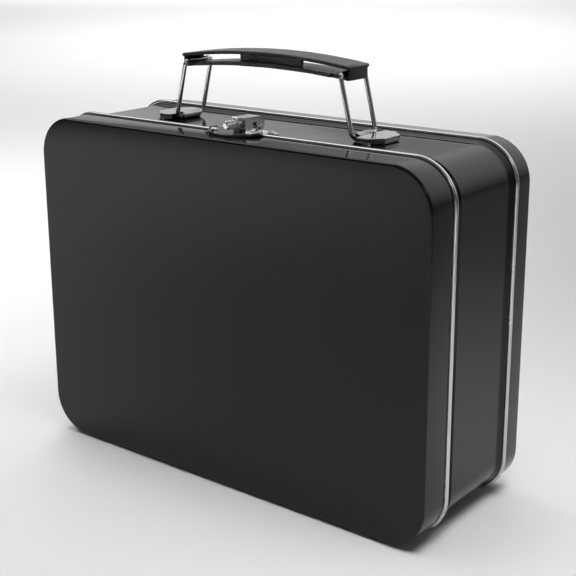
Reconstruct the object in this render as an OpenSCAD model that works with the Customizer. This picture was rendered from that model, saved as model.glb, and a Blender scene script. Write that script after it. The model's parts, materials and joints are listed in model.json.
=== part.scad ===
// Metal lunch box: a shallow tinplate case with a hinged front lid, a snap hasp
// and a carrying handle on two wire loops.
// X runs along the width, Y from the lid to the back and Z up.
// The origin is under the middle of the case, where its lowest edges rest.

/* [Case] */
// Width of the case across its front face
face_w = 205; // [190:1:220]
// Height of the case's front face
face_h = 150; // [135:1:165]
// Depth of the closed case, front face to back face
case_d = 75; // [70:1:85]
// Corner radius of the case, seen from the front
corner_r = 17.5; // [15:0.5:22]
// Radius of the pressed edge between a face and its skirt
edge_r = 1.1; // [0.8:0.1:2]
// Thickness of the tinplate
sheet = 0.45; // [0.4:0.05:0.5]
// How far the body stands in from the lid's skirt
body_inset = 1.2; // [1.1:0.05:1.5]

/* [Lid and back] */
// Distance from the front face to the middle of the lid's rolled edge
lid_depth = 16.4; // [15:0.1:18]
// Distance from the back face to the middle of the back's rolled edge
back_depth = 12; // [10:0.1:14]
// Outer radius of the rolled edges
curl_r = 0.95; // [0.9:0.05:1.1]
// How far the middle of a rolled edge stands out from the skirt
curl_out = 0.1; // [0:0.05:0.2]
// How far the body's neck reaches into the lid, from the rolled edge
neck_len = 8; // [6:0.5:9]
// Distance from the front face to the ridge behind the lid
ridge_y = 22; // [20:0.1:24]
// Length of the body's flare ahead of the back's rolled edge
flare_len = 5; // [4:0.5:7]

/* [Lid hinge] */
// Radius of the hinge wire
hinge_wire_r = 0.45; // [0.4:0.05:0.45]
// Distance of each hinge strap from the middle of the case
strap_x = 55; // [40:1:70]
// Width of a hinge strap
strap_w = 14; // [10:0.5:20]

/* [Handle] */
// Distance from the front face to the middle of the handle
handle_y = 40; // [38:0.5:42]
// How far the handle stands off the middle of the case
handle_x = -1; // [-3:0.5:3]
// Half the distance between the two bracket pivots
pivot_x = 47; // [45:0.5:50]
// Radius of the loop wire
wire_r = 0.95; // [0.8:0.05:1.1]
// Half the distance between the two legs of a loop
leg_y = 8.4; // [8:0.1:9]
// How far a loop leans in towards the middle, from foot to top
loop_lean = 6; // [4:0.5:7]
// Height of a loop between its two pivots
loop_h = 24.8; // [22:0.2:30]
// Length of the grip
grip_len = 88.4; // [88:0.2:92]
// Width of the grip's upper moulding
grip_w = 15.2; // [15:0.2:18]
// Rise of the grip's top from its ends to its middle
grip_rise = 3.1; // [2:0.1:4]

/* [Latch] */
// Distance from the front face to the hasp's pivot pin
pin_y = 27; // [26.5:0.1:27.5]
// Width of the hasp
hasp_w = 6.6; // [6:0.1:8]
// Half the length of the keeper plate's straight back edge
plate_half = 14.2; // [13:0.1:15]
// Depth of the keeper plate, from its front to its back edge
plate_d = 11.6; // [11:0.1:12]
// Half the length of the latch's base plate
base_half = 12.5; // [11:0.5:14]

/* [Hidden] */
$fn = 48;

fit = 0.05;                       // radial clearance of a pin in its hole
touch = 0.01;                     // overlap that joins two shapes of one piece
big = 400;                        // longer than the whole case

curl_proud = curl_r + curl_out;   // how far a rolled edge stands out
mid_z = curl_proud + face_h / 2;  // middle of the case's height
top_z = curl_proud + face_h;      // top of the lid's skirt
body_top = top_z - body_inset;    // outer top surface of the body
body_bottom = curl_proud + body_inset;
front_y = -case_d / 2;            // the lid's front face
curl_y = front_y + lid_depth;     // middle of the lid's rolled edge
seam_y = case_d / 2 - back_depth; // middle of the back's rolled edge
hinge_z = curl_proud - curl_out;

handle_mid_y = front_y + handle_y;
bracket_sheet = 0.8;
knuckle_r = wire_r + fit + bracket_sheet;
knuckle_z = body_top + knuckle_r;
knuckle_len = 11.6;
tray_h = 2.8;                     // height of the bracket's folded tray
tray_x = 13.5;                    // tray's outer edge from the knuckle's axis
tray_in_x = 3;                    // tray's inner edge beside the loop's legs
tray_w = 21;
tray_corner = 5;
prong_w = 4;
prong_x = 8;

bend_r = 2.2;                     // centre-line radius of a loop's bends
loop_tilt = atan(loop_lean / loop_h);
loop_len = norm([loop_lean, loop_h]);
top_pivot_x = pivot_x - loop_lean;
top_pivot_z = knuckle_z + loop_h;
grip_plate = 1.5;                 // thickness of the upper moulding
grip_end_z = 2.9;                 // grip's top at its ends, above the top pivots
grip_in_w = 12.4;                 // width inside the loops' legs
end_wall = 0.9;                   // thickness of the grip's end walls
low_w = 14.4;                     // width of the grip's lower moulding clear of the legs
low_wide_x = 35;                  // where it narrows to pass between them
saddle_w = 6;
strap_rise = 2.8;                 // rise of the lower moulding
strap_t = 1.6;
strap_mid_z = -0.2;               // its underside at mid length
cheek_t = 1;                      // side cheeks between the two mouldings
cheek_low = 0.3;                  // how far they reach below the lower one
cheek_len = 32;
cheek_x = 4;
screw_x = 4;
slot_x = 1.3;                     // sideways play of the right loop in the grip

pin_r = 0.7;
pin_z = top_z + 1.4;
pin_mid_y = front_y + pin_y;
base_t = 0.5;
hasp_t = 0.55;
hasp_front = 9.9;                 // from the pin to the hasp's front wall
plate_t = 0.45;
plate_z = top_z + curl_proud + touch;  // the keeper plate leans on the rolled edge
plate_back_y = curl_y + 0.7;
plate_tilt = 5;
plate_rivet_x = 9.2;
plate_rivet_y = -4.4;             // from the rolled edge, along the plate
base_rivet_x = 8.2;
base_mid_y = 0.8;                 // middle of the base plate, behind the pin
base_d = 8.4;
knob_z = top_z + 4.05;
rivet_r = 1;
tail_h = 0.3;                     // height of a rivet's flattened tail

// ---------- shared shapes ----------

// Sweeps a profile round a rounded rectangle in XY. The profile's x is the
// distance out from the corner's centre and its y becomes Z.
module around(w, h, r) {
  for (turn = [0, 180])
    rotate([0, 0, turn]) {
      translate([w / 2 - r, 0, 0]) rotate([90, 0, 0])
        linear_extrude(h - 2 * r, center = true) children();
      rotate([0, 0, 90]) translate([h / 2 - r, 0, 0]) rotate([90, 0, 0])
        linear_extrude(w - 2 * r, center = true) children();
      translate([w / 2 - r, h / 2 - r, 0])
        rotate_extrude(angle = 90) children();
      translate([-w / 2 + r, h / 2 - r, 0]) rotate([0, 0, 90])
        rotate_extrude(angle = 90) children();
    }
}

// Section of a pan: face, pressed edge, skirt and a rolled edge, which can be
// open on its inner side, away from the face.
module pan_section(depth, open_roll) {
  square([corner_r - edge_r, sheet]);
  translate([corner_r - edge_r, edge_r]) intersection() {
    difference() {
      circle(edge_r);
      circle(edge_r - sheet);
    }
    translate([0, -edge_r]) square(edge_r);
  }
  difference() {
    union() {
      translate([corner_r - sheet, edge_r]) square([sheet, depth - edge_r]);
      translate([corner_r + curl_out, depth]) circle(curl_r);
    }
    translate([corner_r + curl_out, depth]) circle(curl_r - sheet);
    if (open_roll)
      translate([corner_r - 2, depth + touch]) square([2, 2]);
  }
}

// A whole pan in its own frame: face down in XY and open towards +Z
module pan(depth, open_roll) {
  around(face_w, face_h, corner_r) pan_section(depth, open_roll);
  translate([-face_w / 2 + corner_r, -face_h / 2 + corner_r, 0])
    cube([face_w - 2 * corner_r, face_h - 2 * corner_r, sheet]);
}

// A closed-end rivet along +Z: domed head above z = 0, shank and tail below
module rivet(grip) {
  intersection() {
    translate([0, 0, -0.9]) sphere(1.9);
    cylinder(h = 2, r = 3);
  }
  translate([0, 0, -grip - tail_h / 2]) cylinder(h = grip + tail_h, r = rivet_r);
  translate([0, 0, -grip - tail_h]) cylinder(h = tail_h, r = 1.5);
}

// ---------- body ----------

// Section of the wrap-around band, from the neck inside the lid to the seam
module band_section() {
  out = corner_r - body_inset;
  neck_y = lid_depth - neck_len;
  seam = case_d - back_depth;
  hem_r = 0.8;
  difference() {
    union() {
      translate([out - sheet, neck_y]) square([sheet, seam - flare_len - neck_y]);
      translate([out - 0.4, ridge_y]) circle(1);
      translate([out - hem_r, neck_y]) circle(hem_r);
    }
    translate([out - 0.4, ridge_y]) circle(1 - sheet);
    translate([out - 2 - sheet, ridge_y - 2]) square([2, 4]);
    translate([out - hem_r, neck_y]) circle(hem_r - sheet);
    translate([out - 2 * hem_r, neck_y]) square([hem_r * 2 - sheet, 2]);
  }
  // the flare widens the band and its lip ends inside the back's rolled edge
  lip = body_inset - 0.05;
  translate([out, seam]) polygon([
    [-sheet, -flare_len - touch], [0, -flare_len - touch], [0.12 * lip, -0.72 * flare_len],
    [0.62 * lip, -0.4 * flare_len], [0.87 * lip, -0.26 * flare_len],
    [lip, -0.1 * flare_len], [lip, -2 * touch], [lip - 0.35, -2 * touch],
    [lip - 0.4, -0.12 * flare_len], [0.47 * lip, -0.24 * flare_len],
    [0.2 * lip, -0.42 * flare_len], [-0.3, -0.72 * flare_len]
  ]);
}

module body_band() {
  color("black") difference() {
    translate([0, front_y, mid_z]) rotate([-90, 0, 0])
      around(face_w, face_h, corner_r) band_section();
    for (side = [-1, 1]) {
      for (end = [-1, 1])
        translate([handle_x + side * (pivot_x + prong_x) - prong_w / 2 - 0.15,
                   handle_mid_y + end * (tray_w - bracket_sheet) / 2 - 0.55, body_top - 2])
          cube([prong_w + 0.3, 1.1, 4]);
      for (dx = [-4, 4])
        translate([side * strap_x + dx, front_y + 30, body_bottom - 1])
          cylinder(h = 3, r = rivet_r + fit);
      translate([side * base_rivet_x, pin_mid_y + base_mid_y, body_top - 2])
        cylinder(h = 4, r = rivet_r + fit);
    }
  }
}

module back_pan() {
  color("black") translate([0, case_d / 2, mid_z]) rotate([90, 0, 0]) pan(back_depth, true);
}

// ---------- handle brackets ----------

// Plan of the folded tray, drawn for the +X side from the knuckle's axis
module tray_plan(inset) {
  y = tray_w / 2 - inset;
  x = tray_x - inset;
  c = tray_corner - inset * 0.6;
  polygon([
    [tray_in_x + inset, -y], [x - c, -y], [x, -y + c],
    [x, y - c], [x - c, y], [tray_in_x + inset, y]
  ]);
}

module bracket(side) {
  color("silver") translate([handle_x, handle_mid_y, body_top]) mirror([side < 0 ? 1 : 0, 0, 0])
    translate([pivot_x, 0, 0]) {
      difference() {
        translate([0, 0, 0.25]) linear_extrude(tray_h - 0.25) tray_plan(0);
        translate([0, 0, -1]) linear_extrude(tray_h + 1 - bracket_sheet) tray_plan(bracket_sheet);
      }
      difference() {
        union() {
          translate([0, 0, knuckle_r]) rotate([90, 0, 0])
            cylinder(h = knuckle_len, r = knuckle_r, center = true);
          translate([1.3, -knuckle_len / 2, tray_h - bracket_sheet])
            cube([tray_in_x - 1.2, knuckle_len, bracket_sheet]);
        }
        translate([0, 0, knuckle_r]) rotate([90, 0, 0])
          cylinder(h = big, r = wire_r + fit, center = true);
      }
      // prongs through the body's top, bent over inside
      for (end = [-1, 1])
        translate([prong_x - prong_w / 2, 0, 0]) {
          translate([0, end * (tray_w - bracket_sheet) / 2 - bracket_sheet / 2, -sheet - 0.8])
            cube([prong_w, bracket_sheet, sheet + 0.8 + 0.5]);
          translate([0, end * (tray_w / 2 - 2.5) - 2.5, -sheet - 0.8])
            cube([prong_w, 5, 0.8]);
        }
    }
}

module bracket_left() { bracket(-1); }
module bracket_right() { bracket(1); }

// ---------- lid hinge ----------

module hinge_strap(side) {
  eye_r = curl_r;
  t = eye_r - hinge_wire_r - fit;
  flat_z = body_bottom - t - hinge_z;
  color("silver") translate([side * strap_x, curl_y, hinge_z]) difference() {
    union() {
      rotate([0, 90, 0]) cylinder(h = strap_w, r = eye_r, center = true);
      rotate([90, 0, 90]) linear_extrude(strap_w, center = true) polygon([
        [0.6, 0.15], [6.6, 0.15], [8.2, flat_z], [18, flat_z],
        [18, flat_z + t], [8, flat_z + t], [6.3, 0.15 + t], [0.6, 0.15 + t]
      ]);
    }
    rotate([0, 90, 0]) cylinder(h = strap_w + 2, r = hinge_wire_r + fit, center = true);
    for (dx = [-4, 4])
      translate([dx, 30 - lid_depth, -2]) cylinder(h = 6, r = rivet_r + fit);
  }
}

module hinge_strap_left() { hinge_strap(-1); }
module hinge_strap_right() { hinge_strap(1); }

module hinge_rivets() {
  t = curl_r - hinge_wire_r - fit;
  color("silver") for (side = [-1, 1], dx = [-4, 4])
    translate([side * strap_x + dx, front_y + 30, body_bottom - t]) rotate([180, 0, 0])
      rivet(t + sheet);
}

module hinge_wire() {
  color("silver") translate([0, curl_y, hinge_z]) rotate([0, 90, 0])
    cylinder(h = 2 * (strap_x + strap_w), r = hinge_wire_r, center = true);
}

// ---------- lid ----------

module lid_pan() {
  gap_w = strap_w + 0.6;
  color("black") difference() {
    translate([0, front_y, mid_z]) rotate([-90, 0, 0]) pan(lid_depth, false);
    for (side = [-1, 1]) {
      translate([side * strap_x - gap_w / 2, curl_y - 1.3, -1]) cube([gap_w, 4, 3.2]);
      translate([side * plate_rivet_x, curl_y + plate_rivet_y, top_z - 2])
        cylinder(h = 4, r = rivet_r + fit);
    }
  }
}

// Plan of the keeper plate: a round front and a straight back edge with rounded
// ends, seen from the rolled edge's middle
module plate_plan(inset) {
  arc_r = (plate_half * plate_half + plate_d * plate_d) / (2 * plate_d);
  back = plate_back_y - curl_y;
  intersection() {
    translate([0, back - plate_d + arc_r]) circle(arc_r - inset, $fn = 180);
    translate([-big / 2, back - big]) square([big, big]);
    translate([0, back - plate_d / 2]) circle(plate_half - 0.6 - inset, $fn = 120);
  }
}

// Puts a child, drawn flat, on the slope from the rolled edge to the lid's skirt
module on_slope() {
  translate([0, curl_y, plate_z]) rotate([plate_tilt, 0, 0]) children();
}

module latch_plate() {
  tongue_w = 4.8;
  tongue_y = front_y + 21.8;
  window_y = front_y + 19.3;
  rivet_y = curl_y + plate_rivet_y;
  color("silver") difference() {
    union() {
      on_slope() {
        linear_extrude(plate_t) plate_plan(0);
        linear_extrude(plate_t + 0.5) difference() {
          plate_plan(0);
          plate_plan(0.5);
        }
      }
      translate([-tongue_w / 2, curl_y, plate_z])
        cube([tongue_w, tongue_y - curl_y, plate_t]);
      for (side = [-1, 1])
        translate([side * plate_rivet_x, rivet_y, top_z])
          cylinder(h = curl_proud + 0.4 * plate_rivet_y * sin(plate_tilt), r1 = 1.8, r2 = 2.4);
    }
    translate([-1.3, window_y, plate_z - 1]) cube([2.6, 1.3, 3]);
    for (side = [-1, 1])
      translate([side * plate_rivet_x, rivet_y, top_z - 1]) cylinder(h = 4, r = rivet_r + fit);
  }
}

module latch_plate_rivets() {
  sunk = plate_rivet_y * sin(plate_tilt);
  lift = 0.25;                    // the head clears the slope on its high side
  color("silver") for (side = [-1, 1])
    translate([side * plate_rivet_x, curl_y + plate_rivet_y, plate_z + plate_t + sunk + lift])
      rivet(plate_t + curl_proud + touch + sunk + lift + sheet);
}

// ---------- latch on the body ----------

module latch_base() {
  ear_in = hasp_w / 2 - hasp_t - 0.25 - 0.6;
  up = pin_z - body_top;
  arc_r = (base_half * base_half + base_d * base_d / 4) / base_d;
  color("silver") translate([0, pin_mid_y, body_top]) difference() {
    union() {
      linear_extrude(base_t) intersection() {
        translate([0, base_mid_y + arc_r - base_d / 2]) circle(arc_r, $fn = 180);
        translate([0, base_mid_y - arc_r + base_d / 2]) circle(arc_r, $fn = 180);
        translate([0, base_mid_y]) circle(base_half - 0.5);
      }
      // ears that carry the pin, leaning back from the front of the base
      for (x = [-ear_in - 0.6, ear_in])
        translate([x, 0, 0]) rotate([90, 0, 90]) linear_extrude(0.6) {
          translate([0, up]) circle(1.1);
          polygon([[-2.9, 0.1], [-0.5, 0.1], [-0.2, up - 1], [0, up], [-1, up + 0.4]]);
        }
    }
    translate([0, 0, up]) rotate([0, 90, 0]) cylinder(h = 20, r = pin_r + 0.02, center = true);
    for (side = [-1, 1])
      translate([side * base_rivet_x, base_mid_y, -1]) cylinder(h = 3, r = rivet_r + fit);
  }
}

module latch_base_rivets() {
  color("silver") for (side = [-1, 1])
    translate([side * base_rivet_x, pin_mid_y + base_mid_y, body_top + base_t])
      rivet(base_t + sheet);
}

module latch_pin() {
  color("silver") translate([0, pin_mid_y, pin_z]) rotate([0, 90, 0]) {
    cylinder(h = hasp_w + 0.4, r = pin_r, center = true);
    for (side = [-1, 1])
      translate([0, 0, side * (hasp_w / 2 + 0.35)]) cylinder(h = 0.5, r = 1.15, center = true);
  }
}

// ---------- hasp ----------

// Side view of the hasp from its pin: x towards the back, y up. Its round back
// stays clear of the base plate while the hasp turns.
module hasp_side(inset) {
  polygon([
    [-hasp_front + inset, 0.35], [-9.6, 0.35], [-9.6, -0.35], [-2.6, -0.35], [-1.5, -1.4],
    [1.4 - inset, -1.4], [1.9 - inset, -0.65], [1.95 - inset, 0.3], [-0.3, 4.7 - inset],
    [-hasp_front + inset, 5.1 - inset]
  ]);
  translate([-0.3, 1.8]) circle(2.9 - inset);
}

module latch_hasp() {
  lip = 0.6;                      // the top reaches over the front wall
  color("silver") translate([0, pin_mid_y, pin_z]) difference() {
    rotate([90, 0, 90]) linear_extrude(hasp_w, center = true) {
      hasp_side(0);
      translate([-hasp_front - lip, 5.1 - hasp_t]) square([lip + 0.1, hasp_t]);
    }
    rotate([90, 0, 90]) linear_extrude(hasp_w - 2 * hasp_t, center = true) {
      hasp_side(hasp_t);
      translate([-9.6, -3]) square([13.4, 3.3]);
      translate([-hasp_front + hasp_t, -1]) square([2, 3]);
    }
    rotate([0, 90, 0]) cylinder(h = 20, r = pin_r + fit, center = true);
    translate([-10, -5, 0.15]) cube([20, 2.5, 2.4]);
    translate([0, -12, knob_z - pin_z]) rotate([-90, 0, 0]) cylinder(h = 4, r = 0.85);
  }
}

module latch_knob() {
  wall = pin_y - hasp_front;
  color("silver") translate([0, front_y + 8.4, knob_z]) rotate([-90, 0, 0])
    rotate_extrude() polygon([
      [0, 0], [1.3, 0], [1.9, 0.6], [1.9, 1.7], [1.6, 1.95], [1.6, 2.45], [1.9, 2.7],
      [1.9, 3.7], [1.6, 3.95], [1.6, 4.45], [1.9, 4.7], [1.9, 5.2], [1.35, 5.4],
      [1.35, 5.9], [2.1, 5.9], [2.3, 6.1], [2.3, 7.1], [2.1, 7.3], [1.5, 7.3],
      [1.5, wall - 8.4], [0.8, wall - 8.4], [0.8, wall + hasp_t - 8.4],
      [1.25, wall + hasp_t - 8.4], [1.25, wall + hasp_t - 7.9], [0, wall + hasp_t - 7.9]
    ]);
}

module latch_spring() {
  color("silver") translate([0, pin_mid_y, pin_z]) rotate([90, 0, 90])
    linear_extrude(1.8, center = true) polygon([
      [-2.6, 3.85], [-2.6, 4.2], [-8.3, 4.4], [-8.6, 4.2], [-8.5, 3.8],
      [-7.4, 0.7], [-7.3, -0.25], [-6.95, -0.25], [-7.05, 0.75], [-8.15, 4]
    ]);
}

// ---------- handle ----------

// A wire loop from its lower pivot, leaning in towards the middle
module handle_loop(side) {
  straight = 2 * (leg_y - bend_r);
  color("silver") translate([handle_x + side * pivot_x, handle_mid_y, knuckle_z])
    rotate([0, -side * loop_tilt, 0]) {
      for (z = [0, loop_len])
        translate([0, 0, z]) rotate([90, 0, 0])
          cylinder(h = straight, r = wire_r, center = true);
      for (end = [0, 180])
        rotate([0, 0, end]) {
          translate([0, leg_y, bend_r]) cylinder(h = loop_len - 2 * bend_r, r = wire_r);
          translate([0, leg_y - bend_r, bend_r]) rotate([0, 90, 0]) rotate_extrude(angle = 90)
            translate([bend_r, 0]) circle(wire_r);
          translate([0, leg_y - bend_r, loop_len - bend_r]) rotate([0, 90, 0])
            rotate([0, 0, 90]) rotate_extrude(angle = 90) translate([bend_r, 0]) circle(wire_r);
        }
    }
}

module handle_loop_left() { handle_loop(-1); }
module handle_loop_right() { handle_loop(1); }

// Everything below an arch with the given rise over the grip's length
module below_arch(mid_height, rise) {
  half = grip_len / 2;
  arch_r = (half * half + rise * rise) / (2 * rise);
  translate([0, mid_height - arch_r]) circle(arch_r, $fn = 1440);
}

// Space between two arches, as a side view with y up from the top pivots
module arch_band(top_mid, top_rise, low_mid, low_rise) {
  intersection() {
    difference() {
      below_arch(top_mid, top_rise);
      below_arch(low_mid, low_rise);
    }
    translate([-grip_len / 2, -20]) square([grip_len, 40]);
  }
}

module grip_frame() {
  translate([handle_x, handle_mid_y, top_pivot_z]) children();
}

// Room for the loops' top bars. The right one turns in a slot, because the fold
// is not an exact parallelogram.
module bar_room() {
  slot_r = wire_r + 0.3;
  translate([-top_pivot_x, 0, 0]) rotate([90, 0, 0])
    cylinder(h = big, r = wire_r + fit, center = true);
  for (dx = [0, slot_x])
    translate([top_pivot_x + dx, 0, 0]) rotate([90, 0, 0])
      cylinder(h = big, r = slot_r, center = true);
  translate([top_pivot_x, -big / 2, -slot_r]) cube([slot_x, big, 2 * slot_r]);
}

module grip_upper() {
  crest = grip_end_z + grip_rise;
  wall_z = -2.8;
  half = grip_len / 2;
  rib_w = 2;
  rib_l = 4.6;
  color("dimgray") grip_frame() {
    rotate([90, 0, 0]) linear_extrude(grip_w, center = true)
      arch_band(crest, grip_rise, crest - grip_plate, grip_rise);
    for (side = [-1, 1])
      translate([side > 0 ? half - end_wall : -half, -grip_in_w / 2, wall_z])
        cube([end_wall, grip_in_w, grip_end_z - 0.8 - wall_z]);
    // a rib over each bar
    difference() {
      for (side = [-1, 1])
        translate([side > 0 ? half - end_wall - rib_l : end_wall - half, -rib_w / 2, 0.1])
          cube([rib_l, rib_w, grip_end_z - 0.8]);
      bar_room();
    }
    difference() {
      translate([screw_x, 0, 2]) cylinder(h = crest - grip_plate - 1.9, r = 2.2);
      translate([screw_x, 0, 1]) cylinder(h = 3, r = 0.95);
    }
  }
}

module grip_lower() {
  crest = grip_end_z + grip_rise - 0.05;
  half = grip_len / 2 - end_wall - fit;
  saddle_l = 4.6;
  color("dimgray") grip_frame() difference() {
    union() {
      for (piece = [[2 * half, grip_in_w], [2 * low_wide_x, low_w]])
        rotate([90, 0, 0]) linear_extrude(piece[1], center = true) intersection() {
          arch_band(strap_mid_z + strap_t, strap_rise, strap_mid_z, strap_rise);
          square([piece[0], 20], center = true);
        }
      // a saddle under each bar
      for (side = [-1, 1])
        translate([side > 0 ? half - saddle_l : -half, -saddle_w / 2, -2.2])
          cube([saddle_l, saddle_w, 2.1]);
      // the front cheek is set off to the right and the back one to the left
      for (turn = [0, 180])
        rotate([0, 0, turn]) translate([0, (cheek_t - grip_in_w) / 2, 0]) rotate([90, 0, 0])
          linear_extrude(cheek_t, center = true) intersection() {
            arch_band(crest - grip_plate, grip_rise, strap_mid_z - cheek_low, strap_rise);
            translate([cheek_x, 0]) square([cheek_len, 20], center = true);
          }
      // the boss round the screw
      rotate([90, 0, 0]) linear_extrude(7, center = true) intersection() {
        arch_band(crest - grip_plate, grip_rise, strap_mid_z - cheek_low, strap_rise);
        translate([screw_x, 0]) square([7, 20], center = true);
      }
    }
    bar_room();
    translate([screw_x, 0, 1.9]) cylinder(h = 6, r = 2.3);
    translate([screw_x, 0, -3]) cylinder(h = 6, r = 1.2);
  }
}

module grip_screw() {
  color("silver") grip_frame() translate([screw_x, 0, strap_mid_z - cheek_low]) {
    translate([0, 0, -0.7]) difference() {
      cylinder(h = 0.65, r1 = 1.6, r2 = 2);
      for (turn = [0, 90])
        rotate([0, 0, turn]) translate([-1.1, -0.2, -0.5]) cube([2.2, 0.4, 0.8]);
    }
    translate([0, 0, -0.1]) cylinder(h = 3.9, r = 0.9);
  }
}

body_band();
back_pan();
bracket_left();
bracket_right();
hinge_strap_left();
hinge_strap_right();
hinge_rivets();
latch_base();
latch_base_rivets();
latch_pin();
lid_pan();
hinge_wire();
latch_plate();
latch_plate_rivets();
latch_hasp();
latch_knob();
latch_spring();
handle_loop_left();
handle_loop_right();
grip_upper();
grip_lower();
grip_screw();
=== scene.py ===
"""A black tinplate lunch box with bare rolled edges, nickel fittings and a plastic grip."""

import json
import math

import bpy
import bmesh
from mathutils import Matrix, Vector


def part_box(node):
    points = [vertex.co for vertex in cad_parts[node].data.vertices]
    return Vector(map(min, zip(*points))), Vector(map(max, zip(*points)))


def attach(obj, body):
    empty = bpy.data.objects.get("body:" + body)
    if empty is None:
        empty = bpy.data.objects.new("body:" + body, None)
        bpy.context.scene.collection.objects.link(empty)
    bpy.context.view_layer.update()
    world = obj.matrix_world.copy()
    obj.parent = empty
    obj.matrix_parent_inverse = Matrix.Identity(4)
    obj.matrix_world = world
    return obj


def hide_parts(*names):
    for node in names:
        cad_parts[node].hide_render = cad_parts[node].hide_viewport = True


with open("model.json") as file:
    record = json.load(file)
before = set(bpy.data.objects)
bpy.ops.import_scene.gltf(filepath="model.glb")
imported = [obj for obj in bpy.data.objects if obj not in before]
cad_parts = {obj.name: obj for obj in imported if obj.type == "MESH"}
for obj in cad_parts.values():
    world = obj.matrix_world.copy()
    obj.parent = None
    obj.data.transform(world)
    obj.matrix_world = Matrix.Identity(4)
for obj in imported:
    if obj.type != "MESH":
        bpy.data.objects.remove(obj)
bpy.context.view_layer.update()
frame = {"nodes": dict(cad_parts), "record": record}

MM = 0.001

# Sizes of the sheet work that the CAD boxes don't show
SHEET = 0.45 * MM             # tinplate
CORNER_R = 17.5 * MM          # corner of the case, seen from the front
EDGE_R = 1.1 * MM             # pressed edge round the face
BEAD_R = 0.95 * MM            # rolled edge
BEAD_OUT = 0.1 * MM           # how far the roll's middle stands out from the skirt
BEAD_PROUD = BEAD_R + BEAD_OUT
BODY_INSET = 1.2 * MM         # from the skirts in to the band
CORNER_STEPS = 28

# Sizes of the case, without the rolled edges
lid_low, lid_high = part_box("lid_pan")
back_low, back_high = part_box("back_pan")
MID_Z = (back_low.z + back_high.z) / 2
HALF_H = (back_high.z - back_low.z) / 2 - BEAD_PROUD
HALF_W = (lid_high.x - lid_low.x) / 2 - BEAD_PROUD

# Rounds that break the edges of a CAD solid
FINE, SMALL, SOFT = 0.08 * MM, 0.15 * MM, 0.5 * MM

# Places of the two materials in a sheet piece, and a stretch without faces
PAINT, BARE, OPEN = 0, 1, -1

# Strength of the world, away from the glow and added by it
ROOM = 0.1
GLOW = 1.1


# ---------- camera ----------

def add_camera():
    """The picture's camera: in front, to the right and a little above the box."""
    at = Vector((0.31288, -0.38928, 0.23451))
    forward = Vector((-0.59850, 0.75313, -0.27313)).normalized()
    up = Vector((-0.16484, 0.21786, 0.96196))
    right = forward.cross(up).normalized()
    up = right.cross(forward)
    data = bpy.data.cameras.new("camera")
    data.lens = 74.6
    data.sensor_width = 36
    data.shift_x = 0.0175
    data.shift_y = -0.0498
    data.clip_start = 0.01
    camera = bpy.data.objects.new("camera", data)
    turn = Matrix((right, up, -forward)).transposed().to_4x4()
    camera.matrix_world = Matrix.Translation(at) @ turn
    bpy.context.scene.collection.objects.link(camera)
    bpy.context.scene.camera = camera


# ---------- materials ----------

class Nodes:
    """Short calls for building one material's node tree."""

    def __init__(self, name):
        self.material = bpy.data.materials.new(name)
        self.material.use_nodes = True
        self.tree = self.material.node_tree
        self.shader = self.tree.nodes["Principled BSDF"]
        self.place = self.tree.nodes.new("ShaderNodeTexCoord").outputs["Object"]

    def link(self, source, target):
        self.tree.links.new(source, target)

    def add(self, kind, **values):
        node = self.tree.nodes.new(kind)
        for key, value in values.items():
            node.inputs[key.replace("_", " ")].default_value = value
        return node

    def stretched(self, scale):
        """Object coordinates, scaled differently along each axis."""
        node = self.tree.nodes.new("ShaderNodeMapping")
        node.inputs["Scale"].default_value = scale
        self.link(self.place, node.inputs["Vector"])
        return node.outputs["Vector"]

    def noise(self, scale, detail, place=None):
        node = self.add("ShaderNodeTexNoise", Scale=scale, Detail=detail)
        self.link(place or self.place, node.inputs["Vector"])
        return node.outputs["Fac"]

    def cells(self, scale):
        node = self.add("ShaderNodeTexVoronoi", Scale=scale)
        self.link(self.place, node.inputs["Vector"])
        return node.outputs["Distance"]

    def span(self, source, low, high, from_low=0.3, from_high=0.7):
        """The source, spread from one range of numbers to another."""
        node = self.tree.nodes.new("ShaderNodeMapRange")
        values = {"From Min": from_low, "From Max": from_high, "To Min": low, "To Max": high}
        for key, value in values.items():
            node.inputs[key].default_value = value
        self.link(source, node.inputs["Value"])
        return node.outputs["Result"]

    def total(self, a, b):
        node = self.tree.nodes.new("ShaderNodeMath")
        node.operation = "ADD"
        self.link(a, node.inputs[0])
        self.link(b, node.inputs[1])
        return node.outputs[0]

    def blend(self, factor, colour_a, colour_b):
        """The base colour, between two colours."""
        node = self.tree.nodes.new("ShaderNodeMix")
        node.data_type = "RGBA"
        node.inputs["A"].default_value = (*colour_a, 1)
        node.inputs["B"].default_value = (*colour_b, 1)
        self.link(factor, node.inputs["Factor"])
        self.link(node.outputs["Result"], self.shader.inputs["Base Color"])

    def roughness(self, source):
        self.link(source, self.shader.inputs["Roughness"])

    def bump(self, *layers):
        """Each layer is a height source and its depth in metres; the layers are chained."""
        normal = None
        for source, depth in layers:
            node = self.add("ShaderNodeBump", Strength=1.0, Distance=depth)
            self.link(source, node.inputs["Height"])
            if normal:
                self.link(normal, node.inputs["Normal"])
            normal = node.outputs["Normal"]
        self.link(normal, self.shader.inputs["Normal"])


def make_black_enamel():
    """Stoved gloss enamel on rolled sheet, a little uneven, with wiping marks."""
    m = Nodes("black_enamel")
    m.shader.inputs["IOR"].default_value = 1.36
    haze = m.noise(14, detail=4)
    wiping = m.noise(90, detail=5, place=m.stretched((0.15, 1, 1)))
    m.blend(m.span(haze, 0, 1), (0.0035, 0.0035, 0.0036), (0.0060, 0.0060, 0.0062))
    m.roughness(m.total(m.span(haze, 0.06, 0.11), m.span(wiping, -0.015, 0.02)))
    m.bump((m.noise(16, detail=1), 0.12 * MM), (m.noise(900, detail=1), 0.002 * MM))
    return m.material


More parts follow.
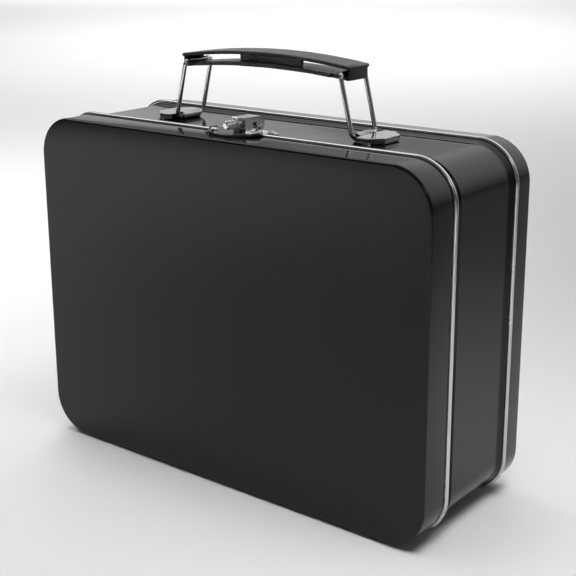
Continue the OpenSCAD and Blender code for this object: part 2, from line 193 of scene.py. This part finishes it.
def make_tinplate():
    """Bare rolled tinplate: bright, with fine grain and a few duller patches."""
    m = Nodes("tinplate")
    m.shader.inputs["Metallic"].default_value = 1
    patches = m.noise(60, detail=4)
    grain = m.noise(2600, detail=2, place=m.stretched((0.04, 1, 1)))
    m.blend(m.span(patches, 0, 1), (0.50, 0.50, 0.50), (0.64, 0.64, 0.635))
    m.roughness(m.total(m.span(patches, 0.16, 0.28), m.span(grain, -0.03, 0.04)))
    m.bump((grain, 0.0008 * MM), (patches, 0.01 * MM))
    return m.material


def make_nickel(name, dark, light):
    """Nickel plate on pressed steel between two shades, with polishing haze."""
    m = Nodes(name)
    m.shader.inputs["Metallic"].default_value = 1
    haze = m.noise(180, detail=4)
    marks = m.noise(1500, detail=2, place=m.stretched((1, 0.12, 1)))
    m.blend(m.span(haze, 0, 1), dark, light)
    m.roughness(m.total(m.span(haze, 0.05, 0.12), m.span(marks, -0.015, 0.02)))
    m.bump((m.noise(260, detail=1), 0.008 * MM), (marks, 0.0006 * MM))
    return m.material


def make_spring_steel():
    """Plain steel, darker than the plate round it, with a drawn grain."""
    m = Nodes("spring_steel")
    m.shader.inputs["Metallic"].default_value = 1
    grain = m.noise(3000, detail=2, place=m.stretched((1, 0.05, 1)))
    m.blend(m.span(grain, 0, 1), (0.34, 0.34, 0.345), (0.46, 0.46, 0.46))
    m.roughness(m.span(grain, 0.26, 0.4))
    m.bump((grain, 0.003 * MM))
    return m.material


def make_grip_plastic():
    """Black moulded plastic with a fine leather-like grain, worn smoother in patches."""
    m = Nodes("grip_plastic")
    m.shader.inputs["IOR"].default_value = 1.5
    worn = m.noise(70, detail=3)
    grain = m.cells(1500)
    m.blend(m.span(worn, 0, 1), (0.007, 0.007, 0.007), (0.012, 0.012, 0.012))
    m.roughness(m.total(m.span(worn, 0.25, 0.33), m.span(grain, -0.03, 0.03, 0, 1)))
    m.bump((grain, 0.05 * MM), (worn, 0.05 * MM))
    return m.material


# ---------- mesh helpers ----------

def new_piece(name, bm, materials, body, node):
    """Turns a bmesh into a smooth-shaded piece that rides on a body and replaces a CAD node."""
    mesh = bpy.data.meshes.new(name)
    bm.normal_update()
    bm.to_mesh(mesh)
    bm.free()
    for material in materials:
        mesh.materials.append(material)
    piece = bpy.data.objects.new(name, mesh)
    bpy.context.scene.collection.objects.link(piece)
    mesh.shade_smooth()
    mesh.set_sharp_from_angle(angle=math.radians(40))
    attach(piece, body)
    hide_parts(node)
    return piece


def arc(centre, radius, start, end, steps):
    """Points of an arc from one angle to another, in degrees."""
    points = []
    for i in range(steps + 1):
        a = math.radians(start + (end - start) * i / steps)
        points.append((centre[0] + radius * math.cos(a), centre[1] + radius * math.sin(a)))
    return points


def rounded_stations():
    """Corner centres and outward directions round the case, seen along Y."""
    stations = []
    for turn, (sx, sz) in enumerate(((1, 1), (-1, 1), (-1, -1), (1, -1))):
        centre = Vector((sx * (HALF_W - CORNER_R), 0, MID_Z + sz * (HALF_H - CORNER_R)))
        for i in range(CORNER_STEPS + 1):
            a = math.radians(90 * turn + 90 * i / CORNER_STEPS)
            stations.append((centre, Vector((math.cos(a), 0, math.sin(a)))))
    return stations


def swept_shell(section, start_y, direction):
    """Sweeps a closed section of (radius, depth, material) points round the case.

    Returns the bmesh and its rings, one list of vertices for each station.
    """
    bm = bmesh.new()
    rings = []
    for centre, out in rounded_stations():
        ring = []
        for r, depth, _ in section:
            along = Vector((0, start_y + direction * depth, 0))
            ring.append(bm.verts.new(centre + out * r + along))
        rings.append(ring)
    count = len(section)
    for i, ring in enumerate(rings):
        after = rings[(i + 1) % len(rings)]
        for j in range(count):
            k = (j + 1) % count
            if section[j][2] == OPEN:
                continue
            face = bm.faces.new((ring[j], ring[k], after[k], after[j]))
            face.material_index = section[j][2]
    return bm, rings


def fill_ring(bm, rings, index, material):
    """A flat panel over one point of the section."""
    face = bm.faces.new([ring[index] for ring in rings])
    face.material_index = material


def face_outward(bm):
    bmesh.ops.recalc_face_normals(bm, faces=bm.faces)


def pan_section(depth):
    """Face edge, skirt and rolled edge of a pan, outside first and then inside.

    The stretch between the last and the first point is left open for the flat panels.
    """
    r = CORNER_R
    lip = math.degrees(math.asin(BEAD_OUT / BEAD_R))
    inner = math.degrees(math.asin((BEAD_OUT + SHEET) / BEAD_R))
    bead = arc((r + BEAD_OUT, depth), BEAD_R, -90 - lip, 270 - inner, 26)
    edge = arc((r - EDGE_R, EDGE_R), EDGE_R, -90, 0, 8)
    inside = arc((r - EDGE_R, EDGE_R), EDGE_R - SHEET, 0, -90, 6)
    points = [(x, y, PAINT) for x, y in edge]
    points += [(x, y, BARE) for x, y in bead]
    points += [(x, y, BARE) for x, y in inside[:-1]]
    points.append((*inside[-1], OPEN))
    return points


def make_pan(name, node, body, direction, gaps=()):
    """A pressed pan with a flat face and a rolled edge that is open towards `direction`."""
    low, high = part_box(node)
    face_y = low.y if direction > 0 else high.y
    section = pan_section(high.y - low.y - BEAD_R)
    bm, rings = swept_shell(section, face_y, direction)
    fill_ring(bm, rings, 0, PAINT)
    fill_ring(bm, rings, len(section) - 1, BARE)
    face_outward(bm)
    for box_low, box_high in gaps:
        cut_box(bm, box_low, box_high)
    new_piece(name, bm, (paint, tinplate), body, node)


def strap_gaps():
    """The boxes in which the lid's rolled edge is cut away round the hinge straps."""
    clearance = 0.3 * MM
    gaps = []
    for side in ("left", "right"):
        low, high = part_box("hinge_strap_" + side)
        gaps.append((Vector((low.x - clearance, lid_high.y - 2.25 * MM, -1 * MM)),
                     Vector((high.x + clearance, lid_high.y + 1 * MM, 2.2 * MM))))
    return gaps


def cut_box(bm, low, high):
    """Removes the faces whose middles lie in a box, after cutting along its X sides."""
    margin = 5 * MM
    for x in (low.x, high.x):
        near = [f for f in bm.faces if f.calc_center_median().z < high.z + margin]
        edges = {e for f in near for e in f.edges}
        verts = {v for f in near for v in f.verts}
        bmesh.ops.bisect_plane(bm, geom=list(verts) + list(edges) + near,
                               plane_co=(x, 0, 0), plane_no=(1, 0, 0))
    gone = []
    for f in bm.faces:
        c = f.calc_center_median()
        if low.x < c.x < high.x and low.y < c.y < high.y and low.z < c.z < high.z:
            gone.append(f)
    bmesh.ops.delete(bm, geom=gone, context="FACES")


# ---------- pieces ----------

def make_band():
    """The wrap-around band: a hemmed neck, a ridge and a flare into the back's rolled edge."""
    low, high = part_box("body_band")
    depth = high.y - low.y
    out = CORNER_R - BODY_INSET
    hem = 0.8 * MM
    ridge = (lid_high.y - BEAD_R) - low.y + 5.6 * MM
    ridge_r = 1 * MM
    ridge_up = 0.6 * MM
    flare = 5 * MM
    flare_up = BODY_INSET - 0.05 * MM
    flare_steps = 12
    meet = math.degrees(math.acos((ridge_r - ridge_up) / ridge_r))
    bump = arc((out - ridge_r + ridge_up, ridge), ridge_r, -meet, meet, 10)
    curve = []
    for i in range(flare_steps + 1):
        t = i / flare_steps
        rise = flare_up * (1 - math.cos(math.pi * t)) / 2
        curve.append((out + rise, depth - flare * (1 - t)))
    outer = arc((out - hem, hem), hem, -180, 0, 10) + bump + curve
    inner = [(x - SHEET, y) for x, y in reversed(curve)]
    inner += [(out - SHEET, ridge + 2 * MM), (out - SHEET, hem + 1 * MM)]
    section = [(x, y, PAINT) for x, y in outer] + [(x, y, BARE) for x, y in inner]
    bm, _ = swept_shell(section, low.y, 1)
    face_outward(bm)
    new_piece("band_shell", bm, (paint, tinplate), "case", "body_band")


def refine(node, material, bevel, body):
    """A copy of a CAD solid with its seams joined and its edges broken by a small round.

    A soft round keeps its width beside short edges; the finer ones give way there.
    """
    mesh = frame["nodes"][node].data
    bm = bmesh.new()
    bm.from_mesh(mesh)
    bmesh.ops.remove_doubles(bm, verts=bm.verts, dist=0.002 * MM)
    bmesh.ops.dissolve_limit(bm, angle_limit=math.radians(1), verts=bm.verts, edges=bm.edges)
    piece = new_piece(node + "_piece", bm, (material,), body, node)
    rounding = piece.modifiers.new("rounding", "BEVEL")
    rounding.width = bevel
    rounding.segments = 3
    rounding.limit_method = "ANGLE"
    rounding.angle_limit = math.radians(38)
    rounding.harden_normals = True
    rounding.use_clamp_overlap = bevel < SOFT


def groove_points(y_high, y_low, depth):
    """Places and drops across a bar's top, from high to low Y, with a groove near each end."""
    profile = ((0.3 * MM, 0), (0.45 * MM, depth), (0.6 * MM, depth), (0.75 * MM, 0))
    first = [(y_high - inset, drop) for inset, drop in profile]
    last = [(y_low + inset, drop) for inset, drop in reversed(profile)]
    return first + last


def arched_bar(bm, ends, sides, top, bottom, round_r, steps, groove=0):
    """A bar along X between two heights that follow the arch, with rounded long edges.

    A groove runs along the top beside each long edge if it is given a depth.
    """
    rings = []
    x0, x1 = ends
    y0, y1 = sides
    stations = [x0 + round_r * (1 - math.cos(math.radians(a))) for a in (0, 30, 60, 90)]
    inner = [x0 + round_r + (x1 - x0 - 2 * round_r) * i / steps for i in range(1, steps)]
    stations += inner + [x0 + x1 - x for x in reversed(stations)]
    for x in stations:
        gap = max(0, round_r - min(x - x0, x1 - x))
        inset = round_r - math.sqrt(max(0, round_r ** 2 - gap ** 2))
        zt, zb = top(x) - inset, bottom(x) + inset
        ya, yb = y0 + inset, y1 - inset
        r = min(round_r, (zt - zb) / 2 - 0.001 * MM)
        ring = []
        corners = ((yb - r, zt - r), (ya + r, zt - r), (ya + r, zb + r), (yb - r, zb + r))
        for turn, corner in enumerate(corners):
            for y, z in arc(corner, r, 90 * turn, 90 * turn + 90, 5):
                ring.append(bm.verts.new((x, y, z)))
            if groove and turn == 0:
                for y, drop in groove_points(yb - r, ya + r, groove):
                    ring.append(bm.verts.new((x, y, zt - drop)))
        rings.append(ring)
    for a, b in zip(rings, rings[1:]):
        for j in range(len(a)):
            k = (j + 1) % len(a)
            bm.faces.new((a[j], a[k], b[k], b[j]))
    bm.faces.new(rings[0])
    bm.faces.new(rings[-1])


def make_grip_top():
    """The grip's upper moulding: a grooved arched plate, two end walls and a rib at each."""
    low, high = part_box("grip_upper")
    thick = 1.5 * MM
    rise = 3.1 * MM
    wall = 0.9 * MM
    wall_w = 12.4 * MM
    rib_l = 4.6 * MM
    rib_w = 2 * MM
    rib_low = low.z + 3.3 * MM
    mid_x = (low.x + high.x) / 2
    mid_y = (low.y + high.y) / 2
    half = (high.x - low.x) / 2
    arch_r = (half ** 2 + rise ** 2) / (2 * rise)

    def top(x):
        return high.z - arch_r + math.sqrt(arch_r ** 2 - (x - mid_x) ** 2)

    def inside_top(x):
        return top(x) - 0.4 * thick

    bm = bmesh.new()
    arched_bar(bm, (low.x, high.x), (low.y, high.y), top, lambda x: top(x) - thick, 0.65 * MM,
               steps=48, groove=0.14 * MM)
    for end in (low.x, high.x - wall):
        arched_bar(bm, (end, end + wall), (mid_y - wall_w / 2, mid_y + wall_w / 2),
                   inside_top, lambda x: low.z, 0.25 * MM, steps=2)
    for end in (low.x + wall, high.x - wall - rib_l):
        arched_bar(bm, (end, end + rib_l), (mid_y - rib_w / 2, mid_y + rib_w / 2),
                   inside_top, lambda x: rib_low, 0.2 * MM, steps=4)
    face_outward(bm)
    new_piece("grip_top", bm, (plastic,), "grip", "grip_upper")


# ---------- floor and light ----------

def add_floor():
    """A wide, plain pale floor just under the rolled edges."""
    bm = bmesh.new()
    bmesh.ops.create_grid(bm, x_segments=1, y_segments=1, size=60)
    mesh = bpy.data.meshes.new("floor")
    bm.to_mesh(mesh)
    bm.free()
    floor = bpy.data.objects.new("floor", mesh)
    floor.location.z = -0.2 * MM
    bpy.context.scene.collection.objects.link(floor)
    m = Nodes("floor")
    m.shader.inputs["Base Color"].default_value = (0.86, 0.86, 0.86, 1)
    m.shader.inputs["Roughness"].default_value = 0.6
    mesh.materials.append(m.material)


def add_light(name, at, aim, size, power, spread=180):
    """A rectangular soft light that faces a point."""
    data = bpy.data.lights.new(name, "AREA")
    data.shape = "RECTANGLE"
    data.size, data.size_y = size
    data.energy = power
    data.spread = math.radians(spread)
    light = bpy.data.objects.new(name, data)
    light.location = at
    light.rotation_euler = (Vector(aim) - Vector(at)).to_track_quat("-Z", "Y").to_euler()
    bpy.context.scene.collection.objects.link(light)
    return light


def add_wash(*values):
    """A light that only brightens what it falls on and isn't itself reflected."""
    add_light(*values).visible_glossy = False


def add_card(*values):
    """A soft box outside the picture: it lights and is mirrored, but never shows itself."""
    add_light(*values).visible_camera = False


def add_world():
    """A dim room with one very large, soft glow high behind the case, only seen mirrored."""
    world = bpy.data.worlds.new("studio")
    world.use_nodes = True
    tree = world.node_tree
    back = tree.nodes["Background"]
    back.inputs["Color"].default_value = (1, 1, 1, 1)
    direction = tree.nodes.new("ShaderNodeTexCoord")
    facing = tree.nodes.new("ShaderNodeVectorMath")
    facing.operation = "DOT_PRODUCT"
    facing.inputs[1].default_value = Vector((0.1, 0.6, 0.79)).normalized()
    tree.links.new(direction.outputs["Generated"], facing.inputs[0])
    glow = tree.nodes.new("ShaderNodeMapRange")
    glow.interpolation_type = "SMOOTHERSTEP"
    glow.inputs["From Min"].default_value = 0.4
    glow.inputs["From Max"].default_value = 1.0
    glow.inputs["To Min"].default_value = ROOM
    glow.inputs["To Max"].default_value = ROOM + GLOW
    tree.links.new(facing.outputs["Value"], glow.inputs["Value"])
    tree.links.new(glow.outputs["Result"], back.inputs["Strength"])
    scene = bpy.context.scene
    scene.world = world
    world.cycles_visibility.diffuse = False
    scene.view_settings.view_transform = "Standard"


# ---------- the scene ----------

add_camera()

paint = make_black_enamel()
tinplate = make_tinplate()
nickel = make_nickel("nickel", (0.60, 0.60, 0.595), (0.70, 0.70, 0.69))
# A darker copy of the nickel. Painted shade: its lower base colour stands in for the dark
# reflection in the keeper plate's dish. The brackets use it too.
shaded_nickel = make_nickel("shaded_nickel", (0.36, 0.36, 0.36), (0.45, 0.45, 0.445))
spring_steel = make_spring_steel()
plastic = make_grip_plastic()

make_pan("lid_shell", "lid_pan", "lid", 1, strap_gaps())
make_pan("back_shell", "back_pan", "case", -1)
make_band()
make_grip_top()

REFINED = {
    "bracket_left": (shaded_nickel, SOFT, "bright_steel"),
    "bracket_right": (shaded_nickel, SOFT, "bright_steel"),
    "hinge_strap_left": (tinplate, FINE, "tinplate"),
    "hinge_strap_right": (tinplate, FINE, "tinplate"),
    "hinge_rivets": (tinplate, FINE, "tinplate"),
    "hinge_wire": (tinplate, FINE, "tinplate"),
    "latch_base": (nickel, SMALL, "bright_steel"),
    "latch_base_rivets": (nickel, FINE, "bright_steel"),
    "latch_pin": (nickel, SMALL, "bright_steel"),
    # The keeper plate takes the darker nickel copy, which is painted shade.
    "latch_plate": (shaded_nickel, SMALL, "bright_steel"),
    "latch_plate_rivets": (nickel, FINE, "bright_steel"),
    "latch_hasp": (nickel, SMALL, "bright_steel"),
    "latch_knob": (nickel, SMALL, "bright_steel"),
    "latch_spring": (spring_steel, FINE, "spring_steel"),
    "handle_loop_left": (nickel, FINE, "bright_steel"),
    "handle_loop_right": (nickel, FINE, "bright_steel"),
    "grip_lower": (plastic, SMALL, "grip_plastic"),
    "grip_screw": (spring_steel, FINE, "spring_steel"),
}
body_of = {}
for body, nodes in frame["record"]["behaviour"]["bodies"].items():
    for node in nodes:
        body_of[node] = body
for node, (material, bevel, slot) in REFINED.items():
    refine(node, material, bevel, body_of[node])

add_floor()
add_world()

# Washes over the floor, from just in front of the case to the far end
add_wash("near_wash", (-0.15, -0.3, 0.9), (-0.15, -0.3, 0), (0.5, 0.5), 0.19, 60)
add_wash("front_wash", (-0.6, -0.75, 1.0), (-0.6, -0.75, 0), (0.8, 0.8), 4.8, 80)
add_wash("right_wash", (0.3, -0.05, 0.7), (0.2, 0.03, 0), (0.3, 0.3), 0.4, 60)
add_wash("left_wash", (-0.45, 0.15, 0.9), (-0.45, 0.15, 0), (0.5, 0.5), 1.4, 70)
add_wash("camera_wash", (0.42, -0.38, 0.9), (0.42, -0.38, 0), (0.4, 0.4), 1.2, 60)
add_wash("floor_wash", (-1.0, 1.4, 1.0), (-0.9, 1.3, 0), (1.6, 1.6), 9, 110)
add_wash("far_wash", (-2.6, 3.3, 1.8), (-2.6, 3.3, 0), (3.0, 3.0), 47, 130)

# Soft boxes that the metal and the case mirror
add_card("back_low", (-1.8, 2.2, 0.35), (0, 0, 0.15), (4.0, 0.5), 0.8)
add_card("back_left", (-2.6, 2.6, 0.5), (0, 0, 0.15), (3.0, 0.8), 4)
add_card("left_high", (-1.3, -0.05, 1.7), (0, 0, 0.15), (1.2, 1.0), 6.5)
add_card("over_camera", (1.1, -1.15, 1.0), (0, 0, 0.15), (0.35, 0.35), 1.8)
